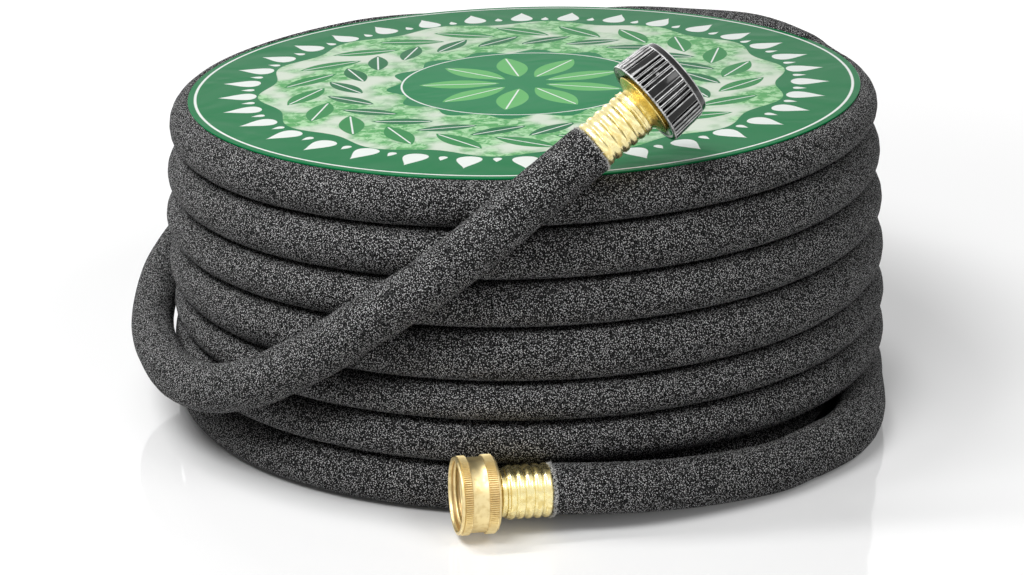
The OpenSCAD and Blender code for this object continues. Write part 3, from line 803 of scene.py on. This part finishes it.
# ---- End cap -------------------------------------------------------------------------
# Injection-moulded black plastic, polished in the mould. Nine wide ribs alternate with
# groups of three narrow ones, and a plain bevel closes the end.
cap_lift, washer_t, cap_wall = 0.2, 2.6, 2
cap_at = male_at + cap_lift
cap_floor = male_end + seat_gap + washer_t + seat_gap
cap_end = cap_floor + cap_wall
cap_r, cap_end_r, cap_face_r = 17.7, 16.8, 15
cap_bevel = 3
rib_deep = 1.1
bevel_at = cap_end - cap_bevel
cap_bore = male_r + 0.25
cap_outline = [
    (cap_bore, cap_at), (cap_r - 0.35, cap_at), (cap_r - 0.1, cap_at + 0.12),
    (cap_r, cap_at + 0.35), (cap_r - 0.03, cap_at + 0.75), (cap_r - 0.3, cap_at + 0.95),
    (cap_r - rib_deep, cap_at + 1.1), (cap_end_r - rib_deep, bevel_at - 0.1),
    (cap_end_r - 0.35, bevel_at), (cap_end_r - 0.45, bevel_at + 0.15),
    (cap_face_r + 0.75, cap_end - 0.75), (cap_face_r + 0.35, cap_end - 0.3),
    (cap_face_r - 0.2, cap_end - 0.05), (cap_face_r - 1, cap_end), (0, cap_end),
    (0, cap_floor), (cap_bore - 0.4, cap_floor), (cap_bore, cap_floor - 0.4)]
cap = turned("cap_moulded", cap_outline, on_tail, 144)


def vector_length(tree, x, y):
    return do_math(tree, "SQRT", do_math(tree, "ADD", do_math(tree, "MULTIPLY", x, x),
                                         do_math(tree, "MULTIPLY", y, y)))


# Painted highlights: pale lines along the ribs' edges, standing in for the lamps' glints, are
# found by angle, in each group of ribs.
rib_groups = 9
group_turn = 360 / rib_groups       # degrees, and so are these
wide_half, narrow_half, narrow_step = 6, 1.8, 7.9
rib_edges = [wide_half, group_turn - wide_half]
rib_edges += [group_turn / 2 + k * narrow_step + side * narrow_half
              for k in (-1, 0, 1) for side in (-1, 1)]
cap_plastic, tree, shader, coords = new_material("polished black plastic")
local = from_axis(tree, coords, on_tail)
cap_xyz = split_xyz(tree, local)
degrees_round = do_math(tree, "MULTIPLY", 180 / math.pi, do_math(
    tree, "ADD", math.tau, do_math(tree, "ARCTAN2", cap_xyz[1], cap_xyz[0])))
in_group = do_math(tree, "MODULO", degrees_round, group_turn)
nearest = group_turn
for edge in rib_edges:
    nearest = do_math(tree, "MINIMUM", nearest, apart(tree, in_group, edge))
from_centre = vector_length(tree, cap_xyz[0], cap_xyz[1])
from_mouth = do_math(tree, "DIVIDE", do_math(tree, "SUBTRACT", cap_xyz[2], cap_at * mm),
                     (bevel_at - cap_at) * mm)
below_ribs = do_math(tree, "SUBTRACT", remap_straight(
    tree, from_mouth, cap_r * mm, cap_end_r * mm), from_centre)
painted_edge_highlight = do_math(tree, "MULTIPLY", remap(tree, nearest, 0.6, 1.5, 1.0, 0.0),
               remap(tree, below_ribs, 0.25 * mm, 0.6 * mm, 1.0, 0.0))
# So are the painted highlights on the lip, the bevel's edge and the face's edge, found along
# the axis.
off_face = remap(tree, from_centre, (cap_face_r - 0.6) * mm, (cap_face_r - 0.2) * mm)
for at, half in ((cap_at + 0.35, 0.35), (bevel_at + 0.05, 0.3), (cap_end - 0.4, 0.35)):
    line = remap(tree, apart(tree, cap_xyz[2], at * mm), half * 0.4 * mm, half * mm, 1.0, 0.0)
    painted_edge_highlight = do_math(tree, "MAXIMUM", painted_edge_highlight, do_math(tree, "MULTIPLY", line, off_face))
scuffs = noise(tree, local, 260.0, 5.0, Roughness=0.65)
base_black = mix_colour(tree, remap(tree, scuffs, 0.5, 0.8), grey(0.003), grey(0.012))
patchy = remap(tree, scuffs, 0.3, 0.62, 0.35, 1.0)
# The base colour mixes pale grey into the black along the painted highlights.
feed(tree, shader, {
    "Base Color": mix_colour(tree, do_math(tree, "MULTIPLY", painted_edge_highlight, patchy), base_black,
                             grey(0.9)),
    "Roughness": remap(tree, scuffs, 0.4, 0.72, 0.08, 0.2), "Specular IOR Level": 0.35,
    "Normal": bump(tree, noise(tree, local, 90.0, 2.0), 0.25, 0.12 * mm)})
cap.data.materials.append(cap_plastic)


def cap_rib(name, half_angle, rounding):
    """One rib with rounded edges, from the lip to the bevel, sunk in the cap's side."""
    arc_steps, sunk = 5, 0.3
    stations = [(cap_at + 0.5, cap_r - 0.05), (cap_at + 0.9, cap_r),
                (bevel_at - 0.5, cap_end_r), (bevel_at - 0.1, cap_end_r - 0.2)]
    arc = [i / arc_steps * math.pi / 2 for i in range(arc_steps + 1)]
    section = [(side, 1 - math.sin(a), math.cos(a))
               for side in (-1, 1) for a in (arc if side < 0 else arc[::-1])]
    points = []
    for z, top in stations:
        root = top - rib_deep - sunk
        ring = [(-half_angle, root)]
        ring += [(side * (half_angle - rounding / top * (1 - out)), top - rounding * fall)
                 for side, fall, out in section]
        ring.append((half_angle, root))
        points += [(r * math.cos(a), r * math.sin(a), z) for a, r in ring]
    return pattern(name, points, tube_faces(len(stations), len(section) + 2))


rib_round = 0.35
rib_sets = [("cap_ribs_wide", wide_half, 0)]
rib_sets += [(f"cap_ribs_narrow_{k}", narrow_half, group_turn / 2 + (k - 2) * narrow_step)
             for k in (1, 2, 3)]
for name, half, first in rib_sets:
    rib = cap_rib(name + "_rib", math.radians(half), rib_round)
    ribs = grow(name, ring_tree, {"Part": rib, "Count": rib_groups, "Material": cap_plastic,
                                  "First Turn": math.radians(first)}, on_tail)
    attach(ribs, "cap")
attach(cap, "cap")
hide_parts("end_cap")

# ---- Label card ----------------------------------------------------------------------
# A round card, printed and laminated, that lies on the coil. Its print is a plain garden
# pattern: a pale line near the edge, a ring of drops, a wreath of leaves and a rosette.
card_t = 0.8
card_segments, card_steps = 180, 24
edge_in, edge_up = 0.25, 0.2
card_rings = [(card_r - edge_in, 0), (card_r, edge_up), (card_r, card_t - edge_up),
              (card_r - edge_in, card_t)]
card_rings += [(card_r * (1 - i / card_steps), card_t) for i in range(1, card_steps)]
card_points = [(0, 0, 0)] + [(r * math.cos(math.tau * k / card_segments),
                              r * math.sin(math.tau * k / card_segments), z)
                             for r, z in card_rings for k in range(card_segments)]
card_points.append((0, 0, card_t))
last_ring = 1 + (len(card_rings) - 1) * card_segments
card_faces = [tuple(1 + k for k in face)
              for face in tube_faces(len(card_rings), card_segments, False)]
card_faces += [(0, 1 + k, 1 + (k + 1) % card_segments) for k in range(card_segments)]
card_faces += [(len(card_points) - 1, last_ring + k, last_ring + (k + 1) % card_segments)
               for k in range(card_segments)]
on_coil = Matrix.Translation(coil_axis) @ card_place
card = place_mesh("label_card_printed", card_points, card_faces, on_coil, smooth=False)

card_print, tree, shader, coords = new_material("laminated print")


def calc(operation, a, b=0.0):
    return do_math(tree, operation, a, b)


local = from_axis(tree, coords, on_coil)
card_xyz = split_xyz(tree, local)
across, away = calc("DIVIDE", card_xyz[0], mm), calc("DIVIDE", card_xyz[1], mm)
reach = vector_length(tree, across, away)
angle = calc("ARCTAN2", away, across)


def inked(value, edge=0.0, soft=0.18):
    """1 where the value is under the edge, with a printed edge's slight softness."""
    return remap(tree, value, edge - soft, edge + soft, 1.0, 0.0)


def repeated(count, radius, first, lean=0.0):
    """Lengths out from the radius and round it, in each of so many equal sectors."""
    step = math.tau / count
    turned_to = calc("ADD", angle, math.tau + first)
    near = calc("SUBTRACT", calc("MODULO", turned_to, step), step / 2)
    out = calc("SUBTRACT", calc("MULTIPLY", reach, calc("COSINE", near)), radius)
    aside = calc("MULTIPLY", reach, calc("SINE", near))
    c, s = math.cos(lean), math.sin(lean)
    return (calc("ADD", calc("MULTIPLY", out, c), calc("MULTIPLY", aside, s)),
            calc("SUBTRACT", calc("MULTIPLY", aside, c), calc("MULTIPLY", out, s)))


def leaf(place, long, wide):
    """How far outside a leaf's edge a point is, and how far from its midrib."""
    out, aside = place
    share = calc("DIVIDE", out, long)
    edge = calc("MULTIPLY", wide, calc("SUBTRACT", 1.0, calc("MULTIPLY", share, share)))
    off = calc("ABSOLUTE", aside)
    return calc("SUBTRACT", off, edge), off


def drop(place, long, wide):
    """How far outside a drop's edge a point is. Its tip points outwards."""
    out, aside = place
    widest = 0.77         # brings the drop's widest place to the width asked for
    share = calc("DIVIDE", out, long)
    round_part = calc("SQRT", calc("MAXIMUM", 0.0, calc(
        "SUBTRACT", 1.0, calc("MULTIPLY", share, share))))
    edge = calc("MULTIPLY", wide * widest, calc(
        "MULTIPLY", round_part, calc("SUBTRACT", 1.0, share)))
    return calc("SUBTRACT", calc("ABSOLUTE", aside), edge)


leaf_green, deep_green = (0.14, 0.5, 0.15, 1), (0.006, 0.19, 0.06, 1)
pale_ink = (0.85, 0.9, 0.86, 1)
mottle = noise(tree, local, 230.0, 4.0, Roughness=0.65, Distortion=0.6)
lawn = mix_colour(tree, remap(tree, mottle, 0.42, 0.6), (0.1, 0.4, 0.12, 1),
                  (0.42, 0.72, 0.4, 1))
lawn = mix_colour(tree, remap(tree, noise(tree, local, 34.0, 2.0), 0.45, 0.62), lawn,
                  (0.7, 0.78, 0.66, 1))
ground = mix_colour(tree, remap(tree, reach, 0.0, card_r), (0.012, 0.24, 0.085, 1), deep_green)
lawn_r, lawn_half, scallops, scallop_deep = 82.0, 27.0, 14.0, 3.0
wave = calc("MULTIPLY", scallop_deep, calc("SINE", calc("MULTIPLY", angle, scallops)))
on_lawn = inked(apart(tree, reach, calc("ADD", lawn_r, wave)), lawn_half)
colour = mix_colour(tree, on_lawn, ground, lawn)
# Leaves: count, radius, first angle, lean, half length, half width and ink.
for count, radius, first, lean, long, wide, ink in (
        (22, 92, 0.0, 0.95, 15, 5.2, (0.03, 0.26, 0.07, 1)),
        (22, 75, 0.14, -0.95, 13, 4.4, (0.015, 0.17, 0.06, 1)),
        (9, 27, 0.0, 0.0, 17, 6.5, leaf_green)):
    outside, off_rib = leaf(repeated(count, radius, first, lean), long, wide)
    colour = mix_colour(tree, inked(outside), colour, ink)
    midrib = calc("MULTIPLY", inked(outside, -1.0), inked(off_rib, 0.35))
    colour = mix_colour(tree, midrib, colour, pale_ink)
# Drops: count, radius, first angle, half length and half width.
for count, radius, first, long, wide in ((34, 121, 0.0, 8.5, 5.2), (34, 117, 0.0924, 3.2, 1.9)):
    inside = inked(drop(repeated(count, radius, first), long, wide), -0.2)
    colour = mix_colour(tree, inside, colour, pale_ink)
for radius, half in ((138.2, 0.55), (51.5, 0.4)):
    colour = mix_colour(tree, inked(apart(tree, reach, radius), half), colour, pale_ink)
film = noise(tree, local, 22.0, 2.0, Distortion=1.2)
feed(tree, shader, {
    "Base Color": colour, "Roughness": remap(tree, film, 0.35, 0.7, 0.08, 0.16), "IOR": 1.3,
    "Specular IOR Level": 0.04, "Normal": bump(tree, film, 0.6, 1.2 * mm)})
card.data.materials.append(card_print)
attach(card, "hose")
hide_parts("label_card")

# ---- Stage ---------------------------------------------------------------------------
# A glossy white table under four soft lamps, which mirrors what stands on it. The eye and
# the mirrors see the table and the world as white, and both add little light of their own.
def seen_directly(tree):
    """1 for the rays that show a thing to the eye, and 0 for those that only light."""
    rays = add_node(tree, "ShaderNodeLightPath", {}).outputs
    return do_math(tree, "MAXIMUM", rays["Is Camera Ray"], do_math(
        tree, "MAXIMUM", rays["Is Glossy Ray"], rays["Is Transmission Ray"]))


table_half = 6000
table = place_mesh("table", [(x * table_half, y * table_half, 0)
                             for x, y in ((-1, -1), (1, -1), (1, 1), (-1, 1))], [(0, 1, 2, 3)])
table_white, tree, shader, coords = new_material("glossy white table")
seen = seen_directly(tree)
# The glow that whitens the table for the eye is weak near the coil, and none under it, which
# paints a shadow round and under the coil.
spread = add_node(tree, "ShaderNodeVectorMath", {0: coords, 1: tuple(coil_axis * mm)},
                  operation="DISTANCE").outputs["Value"]
glow_and_painted_shadow = do_math(tree, "MULTIPLY", remap(tree, spread, 0.14, 0.18),
               remap(tree, spread, 0.2, 1.4, 0.2, 0.95))
glow_and_painted_shadow = do_math(tree, "MULTIPLY", seen, glow_and_painted_shadow)
feed(tree, shader, {
    "Base Color": mix_colour(tree, seen, grey(0.65), grey(0.9)), "Roughness": 0.06,
    "Emission Color": mix_colour(tree, glow_and_painted_shadow, grey(0), grey(1)), "Emission Strength": 1})
table.data.materials.append(table_white)

world = bpy.data.worlds.new("studio")
scene.world = world
world.use_nodes = True
tree = world.node_tree
feed(tree, tree.nodes["Background"], {
    "Color": grey(1), "Strength": remap(tree, seen_directly(tree), 0.0, 1.0, 0.08, 1.0)})
lamp_aim = Vector((0, 0, 0.06))


def soft_light(name, at, size, power):
    light = bpy.data.objects.new(name, bpy.data.lights.new(name, "AREA"))
    light.data.shape = "RECTANGLE"
    light.data.size, light.data.size_y = size
    light.data.energy = power
    light.location = at
    light.rotation_mode = "QUATERNION"
    light.rotation_quaternion = (lamp_aim - Vector(at)).to_track_quat("-Z", "Y")
    scene.collection.objects.link(light)


soft_light("above_left", (-0.75, -0.1, 1.35), (0.14, 0.8), 9)
soft_light("front_left", (-0.6, -1.0, 1.5), (0.9, 0.5), 17)
soft_light("front_right", (0.9, -0.9, 1.35), (0.7, 0.5), 6)
soft_light("back_left", (-0.9, 2.1, 0.9), (0.5, 0.5), 4)

scene.view_settings.view_transform = "Standard"
